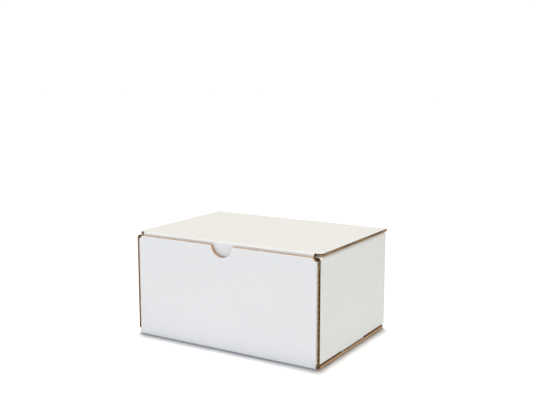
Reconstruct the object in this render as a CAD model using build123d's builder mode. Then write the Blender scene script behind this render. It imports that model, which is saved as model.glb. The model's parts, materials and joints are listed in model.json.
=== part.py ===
"""Corrugated mailer box, folded from one die-cut sheet and closed.

Roll-end, tuck-front pattern.  The tray is the base, the front and back panels with their corner
flaps, and two side walls that stand up from the base, roll over at the top and come down inside,
where their tabs sit in slots in the base.  The lid hangs on the crease at the top of the back
panel, and its front flap tucks in behind the front panel.

Millimetres.  +Z is up, the front faces -Y, and the origin is the middle of the underside.
"""

import os
from math import asin, degrees, hypot, sqrt

from build123d import *

# ---------------------------------------------------------------- driving dimensions
board = 3.0                 # thickness of the board
inside_width = 203.2        # between the rolled side walls
inside_depth = 153.0        # between the front and back panels
inside_height = 106.6       # from the base to the closed lid

ply_gap = 0.3               # between two layers of board that lie against each other
fold_radius = 2.0           # outside radius of a creased fold
roll_radius = 3.4           # outside radius of the two folds along a rolled wall's top
roll_inside_radius = 0.8

front_drop = 0.6            # the front panel's top below the lid's underside
crease_relief = 0.6         # the back panel's top edge falls away from here, inside the crease's middle
notch_radius = 12.7         # thumb notch in the front panel, about a point level with the lid's underside
notch_lip_radius = 0.5
front_corner_width = 2.7    # cut corners at the front panel's top, from where its end folds start

flap_spacing = 27.0         # between the free ends of a side's two corner flaps
flap_lift = 1.6             # corner flaps' lower edge above the base
flap_head = 0.6             # their upper edge below the underside of the roll
flap_corner_radius = 9.0

wall_setback = 2.4          # outer side wall's ends behind the front and back faces
wall_lift = 2.2             # outer side wall's lower edge above the base
middle_lift = 1.4           # the same, between the two bridges
bridge_width = 2.0          # uncut bridges that join the side wall to the base
bridge_spacing = 49.2
bridge_shift = -3.1         # middle of the pair of bridges, towards the front
base_corner_radius = 2.6

tab_width = 24.0            # inner side wall's tabs
tab_spacing = 84.0
tab_end = 0.4               # tab's lower end above the floor
tab_corner_radius = 1.2

lid_overhang = 0.8          # lid's rear corners beyond the side walls
lid_taper = 1.4             # each side of the lid, from the crease to the front fold
lid_corner_width = 3.4      # cut corners at the lid's front
lid_corner_depth = 5.0

tuck_drop = 26.0            # tuck flap's tip below the lid's top
tuck_inset = 4.7            # each end of the tuck flap, from the front panel's end
tuck_taper = 5.2            # each side of the tuck flap, from the fold to the tip
tuck_corner_radius = 10.0
tuck_gap = 0.3              # tuck flap from the front panel, at the fold
tuck_swing_gap = 0.3        # tuck flap's tip from the front panel as the lid opens
tuck_end_gap = 0.8          # inner side walls' front ends behind the tuck flap

# ---------------------------------------------------------------- layers, from inside out
inner_wall_in = inside_width / 2
inner_wall_out = inner_wall_in + board
flap_in = inner_wall_out + ply_gap
flap_out = flap_in + board              # also the ends of the front and back panels
outer_wall_in = flap_out + ply_gap
outer_wall_out = outer_wall_in + board

panel_in = inside_depth / 2
panel_out = panel_in + board
wall_end = panel_out - wall_setback
roll_end = panel_in - ply_gap
flap_end = flap_spacing / 2

lid_bottom = board + inside_height
lid_top = lid_bottom + board
roll_top = lid_bottom - ply_gap
roll_under = roll_top - board
front_top = lid_bottom - front_drop
back_top = lid_bottom - ply_gap
flap_top = roll_under - flap_head
flap_foot = board + flap_lift
wall_foot = board + wall_lift
middle_foot = board + middle_lift

lid_rear = outer_wall_out + lid_overhang    # half widths
lid_front = lid_rear - lid_taper
lid_corner = lid_front - lid_corner_width
tuck_top = flap_out - tuck_inset
tuck_tip = tuck_top - tuck_taper

# The lid turns about the middle of the board at the top of the back panel.
hinge_y = panel_out - board / 2
hinge_z = lid_bottom + board / 2

# The tuck flap leans in, so that its tip clears the front panel's top edge on its way out.
tuck_fold_y = -panel_in + tuck_gap
tuck_reach = hinge_y + panel_in - tuck_swing_gap
tuck_tip_z = lid_top - tuck_drop
tuck_tip_y = hinge_y - sqrt(tuck_reach ** 2 - (hinge_z - tuck_tip_z) ** 2)
tuck_length = hypot(tuck_tip_y - tuck_fold_y, lid_bottom - tuck_tip_z)
tuck_lean = degrees(asin((tuck_tip_y - tuck_fold_y) / tuck_length))
inner_wall_front = tuck_tip_y + board + tuck_end_gap

bridges = (bridge_shift - bridge_spacing / 2, bridge_shift + bridge_spacing / 2)
both_sides = (-1, 1)


def front_top_edges(body):
    """The edges that cross the front panel's top, from its outer to its inner face."""
    across = body.edges().filter_by(Axis.Y).filter_by_position(Axis.Y, -panel_out, -panel_in)
    return across.filter_by_position(Axis.X, -flap_out, flap_out).group_by(Axis.Z)[-1]


# ---------------------------------------------------------------- tray
with BuildPart() as tray:
    # Rolled side walls: outer wall, top strip and inner wall, one bent section along Y.
    for side in both_sides:
        with BuildSketch(Plane.XZ):
            with BuildLine():
                roll = Polyline(
                    (side * outer_wall_out, wall_foot),
                    (side * outer_wall_out, roll_top),
                    (side * inner_wall_in, roll_top),
                    (side * inner_wall_in, board + ply_gap),
                    (side * inner_wall_out, board + ply_gap),
                    (side * inner_wall_out, roll_under),
                    (side * outer_wall_in, roll_under),
                    (side * outer_wall_in, wall_foot),
                    close=True,
                )
            section = make_face()
            tops = section.vertices().group_by(Axis.Y)[-1]
            undersides = section.vertices().group_by(Axis.Y)[-2]
            fillet(tops, roll_radius)
            fillet(undersides, roll_inside_radius)
        extrude(amount=wall_end, both=True)

    # The top strip and the inner wall stop short of the front and back panels, and the inner
    # wall's front end leaves room for the tuck flap.
    cut_depth = panel_out - roll_end
    with BuildSketch(Plane.XY.offset(board)):
        for end in both_sides:
            with Locations((0, end * (roll_end + cut_depth / 2))):
                Rectangle(2 * outer_wall_in, cut_depth)
        with Locations((0, (inner_wall_front - panel_out) / 2)):
            Rectangle(inner_wall_out + flap_in, panel_out + inner_wall_front)
    extrude(amount=inside_height, mode=Mode.SUBTRACT)

    # Base, front panel and back panel: one channel, folded at the two lower edges.
    with BuildSketch(Plane.YZ):
        with BuildLine():
            Polyline(
                (-panel_out, 0),
                (panel_out, 0),
                (panel_out, back_top),
                (panel_in, back_top),
                (panel_in, board),
                (-panel_in, board),
                (-panel_in, front_top),
                (-panel_out, front_top),
                close=True,
            )
        channel = make_face()
        fillet(channel.vertices().group_by(Axis.Y)[0], fold_radius)
    extrude(amount=flap_out, both=True)

    # The back panel's outer edge falls away below the crease, so the lid can lie right back.
    crease_edge = tray.edges().filter_by(Axis.X).group_by(Axis.Y)[-1].sort_by(Axis.Z)[-1]
    chamfer(crease_edge, board / 2 + crease_relief)

    # The base reaches out under the side walls, flush with their faces.
    with BuildSketch(Plane.XY):
        RectangleRounded(2 * outer_wall_out, 2 * wall_end, base_corner_radius)
    extrude(amount=board)

    # Corner flaps, folded back from the ends of the front and back panels.
    for side in both_sides:
        for end in both_sides:
            with BuildSketch(Plane.YZ.offset(side * flap_in)):
                with BuildLine():
                    Polyline(
                        (end * panel_in, flap_foot),
                        (end * flap_end, flap_foot),
                        (end * flap_end, flap_top),
                        (end * panel_in, flap_top),
                        close=True,
                    )
                flap = make_face()
                by_length = flap.vertices().group_by(Axis.X)
                fillet(by_length[0 if end > 0 else -1], flap_corner_radius)
            extrude(amount=side * board)

    # Rounded outside of the folds between the panels and their corner flaps.
    with BuildSketch(Plane.XY.offset(flap_foot)):
        Rectangle(2 * flap_out, 2 * panel_out)
        RectangleRounded(2 * flap_out, 2 * panel_out, fold_radius, mode=Mode.SUBTRACT)
    extrude(amount=flap_top - flap_foot, mode=Mode.SUBTRACT)

    # Cut corners at the top of the front panel, level with the corner flaps beyond the fold.
    for side in both_sides:
        with BuildSketch(Plane.XZ.offset(panel_in)):
            with BuildLine():
                Polyline(
                    (side * (flap_out - fold_radius - front_corner_width), front_top),
                    (side * (flap_out - fold_radius), flap_top),
                    (side * flap_out, flap_top),
                    (side * flap_out, front_top),
                    close=True,
                )
            make_face()
        extrude(amount=board, mode=Mode.SUBTRACT)

    # Thumb notch, with rounded lips.
    with BuildSketch(Plane.XZ.offset(panel_in)):
        with Locations((0, lid_bottom)):
            Circle(notch_radius)
    extrude(amount=board, mode=Mode.SUBTRACT)
    lips = front_top_edges(tray).sort_by(lambda edge: abs(edge.center().X))[:2]
    fillet(lips, notch_lip_radius)

    # Uncut bridges between the base and each side wall, and the wall's lower edge between them.
    for side in both_sides:
        with BuildSketch(Plane.XY.offset(board)):
            for y in bridges:
                with Locations((side * (outer_wall_in + outer_wall_out) / 2, y)):
                    Rectangle(board, bridge_width)
        extrude(amount=wall_foot - board)
        with BuildSketch(Plane.XY.offset(middle_foot)):
            with Locations((side * (outer_wall_in + outer_wall_out) / 2, bridge_shift)):
                Rectangle(board, bridge_spacing)
        extrude(amount=wall_foot - middle_foot)

    # Slots in the base for the inner walls' tabs, and the tabs in them.
    slot_width = board + 2 * ply_gap
    with BuildSketch(Plane.XY):
        with GridLocations(inner_wall_in + inner_wall_out, tab_spacing, 2, 2):
            Rectangle(slot_width, tab_width + 2 * ply_gap)
    extrude(amount=board, mode=Mode.SUBTRACT)
    for side in both_sides:
        with BuildSketch(Plane.YZ.offset(side * inner_wall_in)):
            for y in (-tab_spacing / 2, tab_spacing / 2):
                with BuildLine():
                    Polyline(
                        (y - tab_width / 2, board + ply_gap),
                        (y - tab_width / 2, tab_end + tab_corner_radius),
                        (y - tab_width / 2 + tab_corner_radius, tab_end),
                        (y + tab_width / 2 - tab_corner_radius, tab_end),
                        (y + tab_width / 2, tab_end + tab_corner_radius),
                        (y + tab_width / 2, board + ply_gap),
                        close=True,
                    )
                make_face()
        extrude(amount=side * board)

# ---------------------------------------------------------------- lid
with BuildPart() as lid:
    # Lid panel, from the crease to the front fold, a little narrower at the front.
    with BuildSketch(Plane.XY.offset(lid_bottom)):
        with BuildLine():
            Polyline(
                (-lid_rear, hinge_y),
                (-lid_front, tuck_fold_y + lid_corner_depth),
                (-lid_corner, tuck_fold_y),
                (lid_corner, tuck_fold_y),
                (lid_front, tuck_fold_y + lid_corner_depth),
                (lid_rear, hinge_y),
                close=True,
            )
        make_face()
    extrude(amount=board)

    # Rounded outside of the front fold.
    fold_edge = lid.edges().filter_by(Axis.X).group_by(Axis.Y)[0].sort_by(Axis.Z)[-1]
    fillet(fold_edge, fold_radius)

    # Rounded rear end, which rolls about the crease.
    with BuildSketch(Plane.YZ):
        with Locations((hinge_y, hinge_z)):
            Circle(board / 2)
    extrude(amount=lid_rear, both=True)

    # Tuck flap, in a plane that leans in from the front fold.
    tuck_plane = Plane(
        origin=(0, tuck_fold_y, lid_bottom),
        x_dir=(1, 0, 0),
        z_dir=Vector(0, 1, 0).rotate(Axis.X, tuck_lean),
    )
    with BuildSketch(tuck_plane):
        with BuildLine():
            Polyline(
                (-tuck_top, 0),
                (-tuck_tip, tuck_length),
                (tuck_tip, tuck_length),
                (tuck_top, 0),
                close=True,
            )
        tuck = make_face()
        fillet(tuck.vertices().group_by(Axis.Y)[-1], tuck_corner_radius)
    extrude(amount=board)

# ---------------------------------------------------------------- output
os.makedirs("parts", exist_ok=True)

tray.part.label = "tray"
export_step(tray.part, "parts/tray.step")

lid.part.label = "lid"
export_step(lid.part, "parts/lid.step")
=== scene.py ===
"""Looks of the corrugated mailer box: liners, fluting, folds and cut edges of one white-top board.

Every panel is built in the flat sheet's own coordinates, u across the flutes and v along them, as
three closed layers (outer liner, fluted medium, inner liner), and then laid on its folded line.
Metres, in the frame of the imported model: the front faces -Y and +Z is up.
"""

import json
import math

import bpy
import numpy as np
from mathutils import Matrix, Vector

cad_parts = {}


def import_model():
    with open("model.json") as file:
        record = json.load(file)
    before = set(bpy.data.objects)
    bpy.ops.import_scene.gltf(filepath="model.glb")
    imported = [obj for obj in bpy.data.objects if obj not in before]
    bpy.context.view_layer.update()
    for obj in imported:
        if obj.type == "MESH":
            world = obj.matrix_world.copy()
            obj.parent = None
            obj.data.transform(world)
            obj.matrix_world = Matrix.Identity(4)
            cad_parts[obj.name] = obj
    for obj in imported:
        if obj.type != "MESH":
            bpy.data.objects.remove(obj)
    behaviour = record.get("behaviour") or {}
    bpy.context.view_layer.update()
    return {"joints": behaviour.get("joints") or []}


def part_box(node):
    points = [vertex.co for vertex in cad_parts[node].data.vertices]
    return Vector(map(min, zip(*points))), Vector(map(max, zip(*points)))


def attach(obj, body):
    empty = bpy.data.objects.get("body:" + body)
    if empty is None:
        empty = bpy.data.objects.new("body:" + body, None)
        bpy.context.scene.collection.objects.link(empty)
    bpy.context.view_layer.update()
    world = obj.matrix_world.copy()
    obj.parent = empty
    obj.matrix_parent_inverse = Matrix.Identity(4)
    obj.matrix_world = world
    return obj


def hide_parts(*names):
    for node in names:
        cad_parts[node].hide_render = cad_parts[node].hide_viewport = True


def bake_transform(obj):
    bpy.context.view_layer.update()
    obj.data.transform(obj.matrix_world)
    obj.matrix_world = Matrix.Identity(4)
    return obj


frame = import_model()

MM = 0.001
SAME = 1e-6                     # points nearer than this are one

# ---------------------------------------------------------------- sizes from the frame
tray_low, tray_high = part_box("tray")
lid_low, lid_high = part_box("lid")
hinge_y, hinge_z = frame["joints"][0]["pos_m"][1:]

BOARD = 2 * (lid_high.z - hinge_z)
wall_x = tray_high.x            # outer face of the side walls, and edge of the base
face_y = tray_high.y            # outer face of the front and back panels
lid_top = lid_high.z
fold_y = lid_low.y              # outer face of the lid's front fold
tuck_tip_z = lid_low.z
lid_rear_x = lid_high.x

# ---------------------------------------------------------------- sizes of the board and its cuts
PITCH = 5.95 * MM               # of the flutes
LINER = 0.30 * MM
MEDIUM = 0.26 * MM

CRUSH = 0.8 * MM                # how far in from a cut the medium is crushed
LID_CRUSH = 5.0 * MM            # the same along the lid's sides, which are pressed flatter
GLUE = 0.01 * MM                # between the medium's crests and the liners
EDGE_GAP = 0.04 * MM            # left between crushed medium and liner
PRESS_REACH = 16.0 * MM         # how far the side walls' front and rear cuts press the medium inwards
PRESS_DEPTH = 1.7 * MM          # from the wall's outer face to the pressed medium
ROLL_SHARE = 0.34               # of the board's thickness left at the roll's outer fold
ROLL_REACH = 3.2 * MM           # how far beyond that fold the board is whole again

PLY_GAP = 0.3 * MM              # between two layers of board that lie against each other
FOLD_RADIUS = 2.0 * MM
ROLL_RADIUS = 3.4 * MM
CREASE_RADIUS = 2.4 * MM
FOLD_CORE = 0.35 * MM           # least radius left inside a crushed fold
FOLD_EASE = 0.3                 # share of a fold's turn over which the board gets to that crush

FRONT_DROP = 0.6 * MM           # front panel's top below the lid, and below the notch's centre
NOTCH_RADIUS = 12.7 * MM
NOTCH_LIP = 0.5 * MM
NOTCH_MARGIN = 3.0 * MM         # below the notch, where the rows of points are straight again
CORNER_WIDTH = 2.7 * MM         # cut corners of the front panel, from where its end folds start
CORNER_STEP = 0.1 * MM          # least straight edge left at the end of a cut or rounded corner
FLAP_FOOT = 4.6 * MM
FLAP_TOP = 105.7 * MM
FLAP_END = 13.5 * MM
FLAP_CORNER = 9.0 * MM
BASE_CORNER = 2.6 * MM
WALL_SETBACK = 2.4 * MM
WALL_FOOT = 5.2 * MM
MIDDLE_FOOT = 4.4 * MM
BRIDGE_WIDTH = 2.0 * MM
BRIDGES = (-27.7 * MM, 21.5 * MM)
TAB_CENTRES = (-42.0 * MM, 42.0 * MM)
TAB_WIDTH = 24.0 * MM
TAB_END = 0.4 * MM
TUCK_INSET = 4.7 * MM
TUCK_TAPER = 5.2 * MM
TUCK_CORNER = 10.0 * MM
TUCK_MARGIN = 4.0 * MM          # inside its corners, where the columns of points are straight again
TUCK_END_GAP = 0.8 * MM         # from the tuck flap to the inner side walls' front ends
LID_TAPER = 1.4 * MM
LID_CORNER_WIDTH = 3.4 * MM
LID_CORNER_DEPTH = 5.0 * MM
LID_CORNER_MARGIN = 0.7 * MM    # inside the lid's cut corners, where the columns are straight again
LID_REAR_GAP = 0.2 * MM         # from the back face to the lid's rear corners
CREASE_LEG = 3.4 * MM           # how far the crease strip runs from the fold on each side

panel_x = wall_x - BOARD - PLY_GAP              # ends of the front and back panels
inner_wall_x = panel_x - 2 * BOARD - PLY_GAP    # inner face of the inner side walls
roll_top = lid_top - BOARD - PLY_GAP
front_top = lid_top - BOARD - FRONT_DROP
wall_end = face_y - WALL_SETBACK
strip_end = face_y - BOARD - PLY_GAP
tuck_tip_y = hinge_y - math.sqrt((hinge_y - fold_y) ** 2 - (hinge_z - tuck_tip_z) ** 2)
inner_wall_front = tuck_tip_y + BOARD + TUCK_END_GAP
crease_foot = lid_top - BOARD - CREASE_LEG      # where the back panel ends and the crease starts
crease_head = face_y - BOARD - CREASE_LEG       # where the crease ends and the lid starts


# ---------------------------------------------------------------- folded line
def smooth(t):
    """0 to 1 with level ends."""
    t = np.clip(t, 0, 1)
    return t * t * (3 - 2 * t)


class FoldedLine:
    """Straight legs joined by round folds, all turning left. The sheet's outer face lies on it."""

    def __init__(self, points, radius):
        points = [np.array(p, float) for p in points]
        self.legs = []      # start and end along the line, origin, direction, turn and radius
        self.starts = []
        distance, start = 0.0, points[0]
        for i in range(1, len(points)):
            along = (points[i] - points[i - 1]) / np.linalg.norm(points[i] - points[i - 1])
            last = i == len(points) - 1
            if last:
                end = points[i]
            else:
                onward = (points[i + 1] - points[i]) / np.linalg.norm(points[i + 1] - points[i])
                turn = math.atan2(along[0] * onward[1] - along[1] * onward[0], along @ onward)
                cut = radius * math.tan(turn / 2)
                end = points[i] - along * cut
            length = float((end - start) @ along)
            self.legs.append((distance, distance + length, start, along, 0.0, radius))
            self.starts.append(distance)
            distance += length
            if not last:
                self.legs.append((distance, distance + radius * turn, end, along, turn, radius))
                self.starts.append(distance)
                distance += radius * turn
                start = points[i] + onward * cut
        self.length = distance

    def fold_rows(self, number, count=8):
        """Distances across one fold, both ends included."""
        s0, s1 = self.legs[2 * number + 1][:2]
        return list(np.linspace(s0, s1, count + 1))

    def place(self, s, depth):
        """Points at distance s along the line, depth into the board."""
        placed = np.zeros((2, len(s)))
        everywhere = np.full(s.shape, True)
        for number, (s0, s1, origin, along, turn, radius) in enumerate(self.legs):
            low = s >= s0 if number else everywhere
            high = s < s1 if number < len(self.legs) - 1 else everywhere
            left = np.array([-along[1], along[0]])
            if turn == 0.0:
                onward, inward = s - s0, depth
            else:
                t = (s - s0) / (s1 - s0)
                crushed = min(1.0, (radius - FOLD_CORE) / BOARD)
                share = 1 - (1 - crushed) * smooth(np.minimum(t, 1 - t) / FOLD_EASE)
                reach = radius - depth * share
                onward, inward = reach * np.sin(turn * t), radius - reach * np.cos(turn * t)
            here = origin[:, None] + along[:, None] * onward + left[:, None] * inward
            placed = np.where(low & high, here, placed)
        return placed


# ---------------------------------------------------------------- layers of board
def spread(breaks, step):
    """The breaks, with even points between them no further apart than step."""
    breaks = sorted(set(round(float(b), 7) for b in breaks))
    values = [breaks[0]]
    for low, high in zip(breaks, breaks[1:]):
        count = max(1, math.ceil((high - low) / step - 1e-6))
        values += [low + (high - low) * (i + 1) / count for i in range(count)]
    return np.array(values)


def wave(u):
    """Depth of the medium's middle, and half its thickness through the board."""
    height = (BOARD - 2 * LINER - MEDIUM) / 2 - GLUE
    phase = 2 * math.pi * u / PITCH
    slope = height * 2 * math.pi / PITCH * np.sin(phase)
    return BOARD / 2 + height * np.cos(phase), MEDIUM / 2 * np.sqrt(1 + slope ** 2)


OUTER, INNER, EDGE = 0, 1, 2
WHITE, KRAFT, PAINTED_SHADE_FLUTING = 0, 1, 2         # a piece's material slots
SHARP_TURN = math.radians(32)           # folds are shaded smooth, and cut edges sharp
LINER_STEP = 14.0 * MM                  # longest cells of the liners, across the flutes
ROW_STEP = 25.0 * MM                    # longest cells of both, along the flutes
MEDIUM_STEPS = 10                       # points to a wave of the medium


def layer(grid, place, outer, inner, slots):
    """One closed layer. grid is (U, V, keep); outer and inner are its two depths."""
    U, V, keep = grid
    n, m = U.shape
    points = np.concatenate([place(U, V, outer), place(U, V, inner)])
    index = np.arange(n * m).reshape(n, m)
    under = index + n * m
    faces, tags = [], []

    def add(quads, slot):
        faces.append(quads)
        tags.append(np.full(len(quads), slot))

    i, j = np.nonzero(keep)
    add(np.stack([index[i, j], index[i + 1, j], index[i + 1, j + 1], index[i, j + 1]], 1), slots[OUTER])
    add(np.stack([under[i, j], under[i, j + 1], under[i + 1, j + 1], under[i + 1, j]], 1), slots[INNER])
    padded = np.pad(keep, 1)
    for di, dj, first, second in ((-1, 0, (0, 0), (0, 1)), (1, 0, (1, 1), (1, 0)),
                                  (0, -1, (1, 0), (0, 0)), (0, 1, (0, 1), (1, 1))):
        open_side = keep & ~padded[1 + di:1 + di + n - 1, 1 + dj:1 + dj + m - 1]
        i, j = np.nonzero(open_side)
        p, q = (i + first[0], j + first[1]), (i + second[0], j + second[1])
        add(np.stack([index[p], index[q], under[q], under[p]], 1), slots[EDGE])
    return points, np.concatenate(faces), np.concatenate(tags)


def near(distance, reach):
    """1 up to distance 0, easing to 0 at reach."""
    return 1 - smooth(distance / reach)


def closed_up(crush, middle, half, top, bottom):
    """The medium where a blade has crushed it, from depth top to depth bottom."""
    middle = middle + crush * ((top + bottom) / 2 - middle)
    half = half + crush * ((bottom - top) / 2 - half)
    return middle, half


def board_piece(name, coarse, fine, place, flip, crushed=None, rim=KRAFT):
    """A piece of board: both liners on the coarse grid and the medium on the fine one.

    The outer liner's cut edge shows its white top ply or its kraft core, as rim says.
    """
    U, V, _ = fine
    middle, half = wave(U)
    if crushed:
        middle, half = crushed(U, V, middle, half)
    level = np.ones_like(coarse[0])
    parts = [
        layer(coarse, place, level * 0, level * LINER, (WHITE, KRAFT, rim)),
        # the medium's faces take the fluting darkened with painted shade of the tunnels, its cut edges plain
        # kraft
        layer(fine, place, middle - half, middle + half, (PAINTED_SHADE_FLUTING, PAINTED_SHADE_FLUTING, KRAFT)),
        layer(coarse, place, level * (BOARD - LINER), level * BOARD, (KRAFT, KRAFT, KRAFT)),
    ]
    points, faces, tags, count = [], [], [], 0
    for p, f, t in parts:
        points.append(p)
        faces.append(f + count)
        tags.append(t)
        count += len(p)
    points, faces, tags = np.concatenate(points), np.concatenate(faces), np.concatenate(tags)
    used, faces = np.unique(faces, return_inverse=True)     # drop the points of cut-out cells
    faces = faces.reshape(-1, 4)
    if flip:
        faces = faces[:, ::-1]
    mesh = bpy.data.meshes.new(name)
    mesh.from_pydata(points[used].tolist(), [], faces.tolist())
    for material in (white_liner, kraft_liner, flute_medium):
        mesh.materials.append(material)
    mesh.polygons.foreach_set("material_index", tags.astype(np.int32))
    mesh.polygons.foreach_set("use_smooth", np.ones(len(faces), bool))
    mesh.update()
    mesh.set_sharp_from_angle(angle=SHARP_TURN)
    piece = bpy.data.objects.new(name, mesh)
    bpy.context.scene.collection.objects.link(piece)
    return piece


def grid_of(us, vs, shape, keep):
    """A grid from two lists: shape moves its points to the outline, keep says which cells stay."""
    U, V = np.meshgrid(us, vs, indexing="ij")
    middle_u = (U[:-1, :-1] + U[1:, 1:]) / 2
    middle_v = (V[:-1, :-1] + V[1:, 1:]) / 2
    kept = keep(middle_u, middle_v)
    U, V = shape(U, V)
    return U, V, kept


def both_grids(u_breaks, v_breaks, shape, keep, v_step=ROW_STEP):
    """The liners' grid and the medium's, whose points along u are close enough for the waves."""
    vs = spread(v_breaks, v_step)
    coarse = grid_of(spread(u_breaks, LINER_STEP), vs, shape, keep)
    fine = grid_of(spread(u_breaks, PITCH / MEDIUM_STEPS), vs, shape, keep)
    return coarse, fine


def unshaped(U, V):
    """The shape of a piece whose outline is its grid's own."""
    return U, V


def keep_all(u, v):
    return np.full(u.shape, True)


def mirrored(values):
    """The values, and the same on the other side of 0."""
    return [-v for v in values] + list(values)


# ---------------------------------------------------------------- materials
def node_material(name):
    """A new material, its nodes and links, its shader, and the place on the object in metres."""
    material = bpy.data.materials.new(name)
    material.use_nodes = True
    nodes, links = material.node_tree.nodes, material.node_tree.links
    shader = nodes["Principled BSDF"]
    place = nodes.new("ShaderNodeTexCoord")
    return material, nodes, links, shader, place.outputs["Object"]


def stretched(nodes, links, vector, scale):
    mapping = nodes.new("ShaderNodeMapping")
    mapping.inputs["Scale"].default_value = scale
    links.new(vector, mapping.inputs["Vector"])
    return mapping.outputs["Vector"]


def noise(nodes, links, vector, scale, detail=4.0, roughness=0.55):
    texture = nodes.new("ShaderNodeTexNoise")
    texture.inputs["Scale"].default_value = scale
    texture.inputs["Detail"].default_value = detail
    texture.inputs["Roughness"].default_value = roughness
    links.new(vector, texture.inputs["Vector"])
    return texture.outputs["Fac"]


def ramp(nodes, links, value, stops):
    node = nodes.new("ShaderNodeValToRGB")
    elements = node.color_ramp.elements
    elements[0].position, elements[0].color = stops[0][0], (*stops[0][1], 1)
    elements[1].position, elements[1].color = stops[-1][0], (*stops[-1][1], 1)
    for position, colour in stops[1:-1]:
        elements.new(position).color = (*colour, 1)
    links.new(value, node.inputs["Fac"])
    return node.outputs["Color"]


def mix(nodes, links, kind, factor, first, second):
    node = nodes.new("ShaderNodeMix")
    node.data_type = "RGBA"
    node.blend_type = kind
    node.inputs["Factor"].default_value = factor
    links.new(first, node.inputs["A"])
    links.new(second, node.inputs["B"])
    return node.outputs["Result"]


def bump(nodes, links, height, strength, distance, normal=None):
    node = nodes.new("ShaderNodeBump")
    node.inputs["Strength"].default_value = strength
    node.inputs["Distance"].default_value = distance
    links.new(height, node.inputs["Height"])
    if normal is not None:
        links.new(normal, node.inputs["Normal"])
    return node.outputs["Normal"]


def make_white_liner():
    """Bleached top ply: faint cloudy formation, short fibres and a soft tooth."""
    material, nodes, links, shader, place = node_material("white_liner")
    cloud = noise(nodes, links, place, 420, detail=5, roughness=0.6)
    clouds = ramp(nodes, links, cloud, [(0.30, (0.715, 0.715, 0.71)), (0.72, (0.75, 0.75, 0.745))])
    fibre = noise(nodes, links, stretched(nodes, links, place, (1, 5, 5)), 900, detail=3, roughness=0.7)
    fibres = ramp(nodes, links, fibre, [(0.32, (0.965, 0.962, 0.955)), (0.55, (1, 1, 1))])
    links.new(mix(nodes, links, "MULTIPLY", 1.0, clouds, fibres), shader.inputs["Base Color"])
    rough = nodes.new("ShaderNodeMapRange")
    rough.inputs["To Min"].default_value = 0.58
    rough.inputs["To Max"].default_value = 0.74
    links.new(cloud, rough.inputs["Value"])
    links.new(rough.outputs["Result"], shader.inputs["Roughness"])
    shader.inputs["Specular IOR Level"].default_value = 0.35
    tooth = noise(nodes, links, place, 3200, detail=3, roughness=0.6)
    fine = bump(nodes, links, tooth, 0.25, 0.00005)
    links.new(bump(nodes, links, cloud, 0.25, 0.00012, fine), shader.inputs["Normal"])
    return material


def make_kraft(name, dark, middle, light, roughness):
    """Unbleached paper: long fibres in three tones."""
    material, nodes, links, shader, place = node_material(name)
    cloud = noise(nodes, links, place, 260, detail=5, roughness=0.65)
    tones = ramp(nodes, links, cloud, [(0.28, dark), (0.5, middle), (0.74, light)])
    fibre = noise(nodes, links, stretched(nodes, links, place, (1, 6, 6)), 700, detail=4, roughness=0.75)
    fibre_tones = [(0.34, (0.80, 0.76, 0.70)), (0.52, (1, 1, 1)), (0.75, (1.0, 0.98, 0.94))]
    fibres = ramp(nodes, links, fibre, fibre_tones)
    links.new(mix(nodes, links, "MULTIPLY", 1.0, tones, fibres), shader.inputs["Base Color"])
    shader.inputs["Roughness"].default_value = roughness
    shader.inputs["Specular IOR Level"].default_value = 0.25
    tooth = noise(nodes, links, place, 2600, detail=4, roughness=0.7)
    links.new(bump(nodes, links, tooth, 0.4, 0.00008), shader.inputs["Normal"])
    return material


white_liner = make_white_liner()
kraft_liner = make_kraft(
    "kraft_liner",
    dark=(0.43, 0.265, 0.135),
    middle=(0.53, 0.335, 0.18),
    light=(0.62, 0.405, 0.23),
    roughness=0.78,
)
# The fluted medium's own brown, darkened with painted shade: its faces show only inside the flute tunnels,
# while its cut edges take the lighter kraft.
flute_medium = make_kraft(
    "flute_medium",
    dark=(0.17, 0.10, 0.045),
    middle=(0.24, 0.145, 0.07),
    light=(0.33, 0.205, 0.105),
    roughness=0.85,
)


# ---------------------------------------------------------------- base, front and back panels
lip_x = math.sqrt((NOTCH_RADIUS + NOTCH_LIP) ** 2 - (FRONT_DROP + NOTCH_LIP) ** 2)
corner_x = panel_x - FOLD_RADIUS - CORNER_WIDTH


def notch_depth(x):
    """How far the front panel's top edge lies below its ends."""
    x = np.abs(x)
    touch_x = lip_x * NOTCH_RADIUS / (NOTCH_RADIUS + NOTCH_LIP)
    arc = np.sqrt(np.clip(NOTCH_RADIUS ** 2 - x ** 2, 0, None)) - FRONT_DROP
    lip = NOTCH_LIP - np.sqrt(np.clip(NOTCH_LIP ** 2 - (x - lip_x) ** 2, 0, None))
    corner = np.clip((x - corner_x) / CORNER_WIDTH, 0, 1) * (front_top - FLAP_TOP - CORNER_STEP)
    return np.where(x <= touch_x, arc, np.where(x < lip_x, lip, corner))


def notch_breaks():
    """Columns across the notch, close together where its edge is steep."""
    touch = math.acos(lip_x / (NOTCH_RADIUS + NOTCH_LIP))
    arc = [NOTCH_RADIUS * math.cos(a) for a in np.linspace(touch, math.pi / 2, 18)]
    lip = [lip_x - NOTCH_LIP * math.sin(a) for a in np.linspace(0, math.pi / 2 - touch, 6)]
    return mirrored(arc[:-1]) + [0.0] + mirrored(lip)


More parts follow.
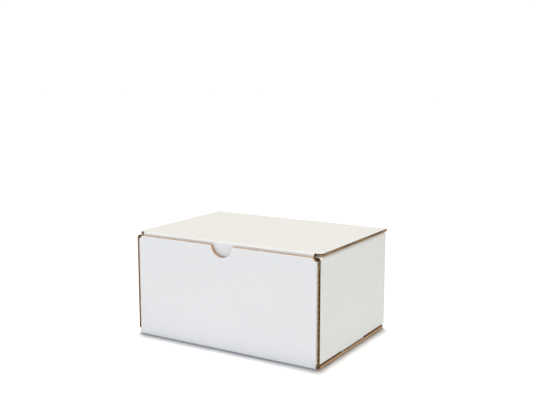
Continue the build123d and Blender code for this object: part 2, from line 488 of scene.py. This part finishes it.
def channel():
    """Front panel, base and back panel, along one line in the YZ plane."""
    corners = [(-face_y, front_top), (-face_y, 0), (face_y, 0), (face_y, crease_foot)]
    line = FoldedLine(corners, FOLD_RADIUS)
    front_leg, base_leg, back_leg = line.starts[0], line.starts[2], line.starts[4]

    def at_front(z):
        return front_leg + front_top - z

    def at_base(y):
        return base_leg + y + face_y - FOLD_RADIUS

    def at_back(z):
        return back_leg + z - FOLD_RADIUS

    notch_row = NOTCH_RADIUS + NOTCH_MARGIN
    window_row = at_front(FLAP_TOP)
    margin_rows = mirrored([wall_end, wall_end - BASE_CORNER])
    slot_half = TAB_WIDTH / 2 + PLY_GAP
    slot_rows = [c + s * slot_half for c in TAB_CENTRES for s in (-1, 1)]
    rows = [0, CRUSH / 2, CRUSH, 2 * CRUSH, 4 * CRUSH, window_row, notch_row, at_front(FLAP_FOOT),
            *line.fold_rows(0), *[at_base(y) for y in margin_rows + slot_rows], *line.fold_rows(1),
            at_back(FLAP_FOOT), at_back(FLAP_TOP), line.length]
    rounding = [wall_x - BASE_CORNER + BASE_CORNER * math.sin(a) for a in np.linspace(0, math.pi / 2, 6)]
    slot_columns = [inner_wall_x - PLY_GAP, inner_wall_x + BOARD + PLY_GAP]
    corner_columns = [panel_x, panel_x - FOLD_RADIUS, corner_x]
    columns = notch_breaks() + mirrored(rounding + slot_columns + corner_columns)

    def keep(u, v):
        x = np.abs(u)
        y = v - at_base(0)
        on_base = (v > line.legs[2][0]) & (v < line.legs[2][1])
        z = np.where(v < line.legs[1][0], front_top - v, v - at_back(0))
        standing = (v < line.legs[1][0]) | (v > line.legs[4][0])
        head = np.where(v < line.legs[1][0], front_top, FLAP_TOP)
        window = standing & (z > FLAP_FOOT) & (z < head) & (x > panel_x - FOLD_RADIUS)
        margin = on_base & (np.abs(y) < wall_end)
        slot = on_base & (x > slot_columns[0]) & (x < slot_columns[1])
        slot &= np.any([np.abs(y - c) < slot_half for c in TAB_CENTRES], axis=0)
        return ((x < panel_x) | margin) & ~window & ~slot

    def shape(U, V):
        depth = notch_depth(U)
        reference = np.where(np.abs(U) > corner_x - FOLD_RADIUS, window_row, notch_row)
        top = V < reference - SAME
        V = np.where(top, depth + V * (1 - depth / reference), V)
        past = np.clip(np.abs(U) - (wall_x - BASE_CORNER), 0, BASE_CORNER)
        pull = np.minimum(BASE_CORNER - np.sqrt(BASE_CORNER ** 2 - past ** 2), BASE_CORNER - CORNER_STEP)
        for side in (-1, 1):
            row = np.abs(V - at_base(side * wall_end)) < SAME
            V = np.where(row, V - side * pull, V)
        return U, V

    def place(U, V, depth):
        y, z = line.place(V.ravel(), depth.ravel())
        return np.stack([U.ravel(), y, z], 1)

    def crushed(U, V, middle, half):
        on_base = (V > line.legs[2][0] - SAME) & (V < line.legs[2][1] + SAME)
        base_edge = np.where(on_base, near(wall_x - np.abs(U), CRUSH), 0)
        top_edge = near(V - notch_depth(U), CRUSH)
        panel_end = np.where(on_base, 0, near(panel_x - np.abs(U), CRUSH))
        crush = np.maximum(base_edge, np.maximum(top_edge, panel_end))
        return closed_up(crush, middle, half, LINER + EDGE_GAP, BOARD - LINER - EDGE_GAP)

    coarse, fine = both_grids(columns, rows, shape, keep)
    piece = board_piece("tray_channel", coarse, fine, place, True, crushed)
    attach(piece, "tray")
    return piece


# ---------------------------------------------------------------- corner flaps
SIDE_NAMES = {-1: "left", 1: "right"}
END_NAMES = {1: "front", -1: "back"}


def corner_flap(side, end):
    """The fold at one end of the front or back panel, and its flap, along a line in the XY plane."""
    corners = [(panel_x - FOLD_RADIUS, -face_y), (panel_x, -face_y), (panel_x, -FLAP_END)]
    line = FoldedLine(corners, FOLD_RADIUS)
    rounding = [line.length - FLAP_CORNER + FLAP_CORNER * math.sin(a) for a in np.linspace(0, math.pi / 2, 7)]
    rows = [FLAP_FOOT, FLAP_TOP, FLAP_FOOT + FLAP_CORNER, FLAP_TOP - FLAP_CORNER]

    def shape(U, V):
        past = np.clip(U - (line.length - FLAP_CORNER), 0, FLAP_CORNER)
        pull = np.minimum(FLAP_CORNER - np.sqrt(FLAP_CORNER ** 2 - past ** 2), FLAP_CORNER - CORNER_STEP)
        V = np.where(V < FLAP_FOOT + SAME, V + pull, np.where(V > FLAP_TOP - SAME, V - pull, V))
        return U, V

    def place(U, V, depth):
        x, y = line.place(U.ravel(), depth.ravel())
        return np.stack([side * x, end * y, V.ravel()], 1)

    coarse, fine = both_grids([0, *line.fold_rows(0), *rounding], rows, shape, keep_all)
    name = "corner_flap_" + SIDE_NAMES[side] + "_" + END_NAMES[end]
    piece = board_piece(name, coarse, fine, place, flip=side * end < 0)
    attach(piece, "tray")


# ---------------------------------------------------------------- rolled side walls
def side_wall(side):
    """Outer wall, top strip, inner wall and its tabs, along one line in the XZ plane."""
    corners = [(wall_x, BOARD), (wall_x, roll_top), (inner_wall_x, roll_top), (inner_wall_x, TAB_END)]
    line = FoldedLine(corners, ROLL_RADIUS)
    inner_leg = line.starts[4]
    inner_foot = inner_leg + (roll_top - ROLL_RADIUS) - (BOARD + PLY_GAP)
    outer_fold = (line.legs[1][0] + line.legs[1][1]) / 2
    inner_fold = line.legs[3][0]
    tab_edges = [c + s * TAB_WIDTH / 2 for c in TAB_CENTRES for s in (-1, 1)]
    bridge_edges = [b + s * BRIDGE_WIDTH / 2 for b in BRIDGES for s in (-1, 1)]
    us = [0, MIDDLE_FOOT - BOARD, WALL_FOOT - BOARD, *line.fold_rows(0), outer_fold,
          *line.fold_rows(1), inner_foot, line.length]
    press = [wall_end - PRESS_REACH * k / 4 for k in (1, 2, 3, 4)]
    vs = mirrored([wall_end, strip_end, *press]) + [inner_wall_front, *BRIDGES, *tab_edges, *bridge_edges]

    def keep(u, v):
        ends = np.where(u < outer_fold, wall_end, strip_end)
        kept = (np.abs(v) < ends) & ((u < inner_fold) | (v > inner_wall_front))
        tabs = np.any([np.abs(v - c) < TAB_WIDTH / 2 for c in TAB_CENTRES], axis=0)
        kept &= (u < inner_foot) | tabs
        between = (v > BRIDGES[0]) & (v < BRIDGES[1])
        bridge = np.any([np.abs(v - b) < BRIDGE_WIDTH / 2 for b in BRIDGES], axis=0)
        foot = np.where(bridge, 0, np.where(between, MIDDLE_FOOT - BOARD, WALL_FOOT - BOARD))
        return kept & (u > foot)

    def place(U, V, depth):
        arc = line.legs[1][1] - line.legs[1][0]
        share = 1 - (1 - ROLL_SHARE) * near(np.abs(U - outer_fold) - arc / 2, ROLL_REACH)
        x, z = line.place(U.ravel(), (depth * share).ravel())
        return np.stack([side * x, V.ravel(), z], 1)

    def crushed(U, V, middle, half):
        beyond = wall_end - np.abs(V) - PRESS_REACH / 3
        press = np.where(U < line.legs[1][1], near(beyond, PRESS_REACH * 2 / 3), 0)
        low = PRESS_DEPTH + MEDIUM / 2
        high = BOARD - LINER - MEDIUM / 2
        squeezed = low + (middle - LINER - MEDIUM / 2) * (high - low) / (BOARD - 2 * LINER - MEDIUM)
        return middle + press * (squeezed - middle), half

    coarse, fine = both_grids(us, vs, unshaped, keep)
    piece = board_piece("side_wall_" + SIDE_NAMES[side], coarse, fine, place, side > 0, crushed)
    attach(piece, "tray")
    return piece


# ---------------------------------------------------------------- lid and tuck flap
STREAK_HALF = 0.32 * MM         # half the thickness of the crushed medium along the lid's sides
STREAK_SWELL = 0.14 * MM        # how much that varies along the edge
STREAK_DRIFT = 0.18 * MM        # how far it wanders between the liners
LID_ROW_STEP = 3.0 * MM


def lid():
    """Lid panel and tuck flap, along one line in the YZ plane."""
    rear_y = hinge_y + BOARD / 2 - LID_REAR_GAP
    line = FoldedLine([(rear_y, lid_top), (fold_y, lid_top), (tuck_tip_y, tuck_tip_z)], FOLD_RADIUS)
    fold_start, fold_end = line.legs[1][:2]
    front_x = lid_rear_x - LID_TAPER
    start_x = front_x - LID_CORNER_WIDTH - LID_CORNER_MARGIN
    tuck_x = panel_x - TUCK_INSET
    tip_x = tuck_x - TUCK_TAPER
    hold_x = tip_x - TUCK_CORNER - TUCK_MARGIN

    def at(y):
        return rear_y - y

    def lid_half(v):
        y = rear_y - v
        along = (hinge_y - y) / (hinge_y - fold_y - LID_CORNER_DEPTH)
        straight = lid_rear_x - LID_TAPER * np.clip(along, 0, 1)
        cut = np.clip((fold_y + LID_CORNER_DEPTH - y) / LID_CORNER_DEPTH, 0, 1) * LID_CORNER_WIDTH
        return straight - cut

    def tuck_half(v):
        along = np.clip((v - fold_end) / (line.length - fold_end), 0, 1)
        past = np.clip(v - (line.length - TUCK_CORNER), 0, TUCK_CORNER)
        pull = TUCK_CORNER - np.sqrt(TUCK_CORNER ** 2 - past ** 2)
        return tuck_x - TUCK_TAPER * along - pull

    tip_rows = [line.length - TUCK_CORNER + TUCK_CORNER * math.sin(a) for a in np.linspace(0, math.pi / 2, 9)]
    rows = [0, at(crease_head), at(fold_y + LID_CORNER_DEPTH), *line.fold_rows(0), *tip_rows]
    columns = mirrored([hold_x, tuck_x, start_x, panel_x, lid_rear_x]) + [0.0]

    def keep(u, v):
        x = np.abs(u)
        panel = (v < fold_start) & ((v > at(crease_head)) | (x > panel_x))
        tuck = (v > fold_start) & (x < tuck_x)
        return panel | tuck

    def shape(U, V):
        x = np.abs(U)
        on_lid = V < fold_start + SAME
        wide = start_x + (x - start_x) * (lid_half(V) - start_x) / (lid_rear_x - start_x)
        narrow = hold_x + (x - hold_x) * (tuck_half(V) - hold_x) / (tuck_x - hold_x)
        x = np.where(on_lid & (x > start_x), wide, np.where(~on_lid & (x > hold_x), narrow, x))
        return np.sign(U) * x, V

    def place(U, V, depth):
        y, z = line.place(V.ravel(), depth.ravel())
        return np.stack([U.ravel(), y, z], 1)

    def crushed(U, V, middle, half):
        on_lid = V < fold_start + SAME
        crush = np.where(on_lid, near(lid_half(V) - np.abs(U), LID_CRUSH), 0)
        drift = np.sin(V / (7.3 * MM) + 0.6) + 0.6 * np.sin(V / (3.1 * MM) + np.sign(U))
        swell = np.sin(V / (11.0 * MM) + 2.0) + 0.5 * np.sin(V / (4.3 * MM))
        centre = BOARD / 2 + STREAK_DRIFT * drift
        reach = STREAK_HALF + STREAK_SWELL * swell
        return closed_up(crush, middle, half, centre - reach, centre + reach)

    coarse, fine = both_grids(columns, rows, shape, keep, v_step=LID_ROW_STEP)
    piece = board_piece("lid_panel", coarse, fine, place, True, crushed, rim=WHITE)
    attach(piece, "lid")
    return piece


# ---------------------------------------------------------------- crease between back panel and lid
CREASE_ROWS = 14
CREASE_ROW_STEP = 0.6 * MM


def crease():
    """The strip of board where the back panel turns into the lid, built in its closed shape."""
    line = FoldedLine([(face_y, crease_foot), (face_y, lid_top), (crease_head, lid_top)], CREASE_RADIUS)

    def place(U, V, depth):
        y, z = line.place(V.ravel(), depth.ravel())
        return np.stack([U.ravel(), y, z], 1)

    rows = [0, *line.fold_rows(0, CREASE_ROWS), line.length]
    coarse, fine = both_grids([-panel_x, panel_x], rows, unshaped, keep_all, v_step=CREASE_ROW_STEP)
    piece = board_piece("lid_crease", coarse, fine, place, flip=True)
    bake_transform(piece)
    return piece


# ---------------------------------------------------------------- stage, light and camera
FLOOR_GAP = 0.75 * MM           # board is never quite flat, so a dark line shows under the base
FLOOR_HALF = 12.0
SOFT_BOX_TARGET = (0, 0, 0.05)
SOFT_BOX_SIZE = (1.6, 1.0)


def floor():
    """A wide sheet of pale paper."""
    mesh = bpy.data.meshes.new("floor")
    corners = [(-1, -1), (1, -1), (1, 1), (-1, 1)]
    mesh.from_pydata([(x * FLOOR_HALF, y * FLOOR_HALF, -FLOOR_GAP) for x, y in corners], [], [(0, 1, 2, 3)])
    material, nodes, links, shader, place = node_material("floor_paper")
    grain = noise(nodes, links, place, 40)
    links.new(ramp(nodes, links, grain, [(0.3, (0.93, 0.94, 0.965)), (0.7, (0.94, 0.95, 0.975))]),
              shader.inputs["Base Color"])
    shader.inputs["Roughness"].default_value = 0.9
    shader.inputs["Specular IOR Level"].default_value = 0.1
    mesh.materials.append(material)
    obj = bpy.data.objects.new("floor", mesh)
    bpy.context.scene.collection.objects.link(obj)


def light(name, kind, direction, energy, colour):
    """A light that shines along direction."""
    data = bpy.data.lights.new(name, kind)
    data.energy = energy
    data.color = colour
    obj = bpy.data.objects.new(name, data)
    obj.rotation_euler = Vector(direction).to_track_quat("-Z", "Y").to_euler()
    bpy.context.scene.collection.objects.link(obj)
    return obj


def soft_box(name, position, power, colour):
    """A wide soft light aimed at the box."""
    obj = light(name, "AREA", Vector(SOFT_BOX_TARGET) - Vector(position), power, colour)
    obj.location = position
    obj.data.shape = "RECTANGLE"
    obj.data.size, obj.data.size_y = SOFT_BOX_SIZE


def overhead(name, direction, width, strength, colour):
    """A far soft light, width across as the box sees it."""
    light(name, "SUN", direction, strength, colour).data.angle = width


def world():
    """A white surround, bright near the horizon and dimmer overhead."""
    data = bpy.data.worlds.new("studio")
    bpy.context.scene.world = data
    data.use_nodes = True
    nodes, links = data.node_tree.nodes, data.node_tree.links
    place = nodes.new("ShaderNodeTexCoord")
    split = nodes.new("ShaderNodeSeparateXYZ")
    links.new(place.outputs["Generated"], split.inputs["Vector"])
    bright, dim = (1.02, 1.02, 1.02), (0.15, 0.15, 0.15)
    sky = ramp(nodes, links, split.outputs["Z"], [(0.12, bright), (0.36, dim)])
    links.new(sky, nodes["Background"].inputs["Color"])
    nodes["Background"].inputs["Strength"].default_value = 1.0


# The camera looks along a level angle and down by its pitch. Its place is a distance back from the
# frame's origin along that line of sight, then aside and up across it.
CAMERA_AZIMUTH = math.radians(31.30)
CAMERA_PITCH = math.radians(8.63)
CAMERA_BACK = 0.8818
CAMERA_ASIDE = 0.0041
CAMERA_RISE = 0.1439
CAMERA_LENS = 53.67
CAMERA_SENSOR = 36.0


def camera():
    azimuth, pitch = CAMERA_AZIMUTH, CAMERA_PITCH
    level = math.cos(pitch)
    back = Vector((math.sin(azimuth) * level, -math.cos(azimuth) * level, math.sin(pitch)))
    right = Vector((math.cos(azimuth), math.sin(azimuth), 0))
    up = back.cross(right)
    data = bpy.data.cameras.new("camera")
    data.sensor_width = CAMERA_SENSOR
    data.lens = CAMERA_LENS
    data.clip_start, data.clip_end = 0.01, 50
    obj = bpy.data.objects.new("camera", data)
    place = back * CAMERA_BACK + right * CAMERA_ASIDE + up * CAMERA_RISE
    turn = Matrix((right, up, back)).transposed().to_4x4()
    obj.matrix_world = Matrix.Translation(place) @ turn
    bpy.context.scene.collection.objects.link(obj)
    bpy.context.scene.camera = obj


channel_piece = channel()
for side in (-1, 1):
    side_wall(side)
    for end in (-1, 1):
        corner_flap(side, end)
lid_piece = lid()
crease()
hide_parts("tray")
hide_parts("lid")

floor()
world()
overhead("key", (0.05, -0.073, -1), width=math.radians(8.4), strength=3.02, colour=(1.0, 0.963, 0.896))
soft_box("front_fill", (-0.2, -2.2, 0.35), power=18.7, colour=(0.80, 0.86, 1.0))
soft_box("side_fill", (2.2, 0, 0.35), power=10.2, colour=(0.93, 1.0, 0.90))
camera()
bpy.context.scene.view_settings.view_transform = "Standard"
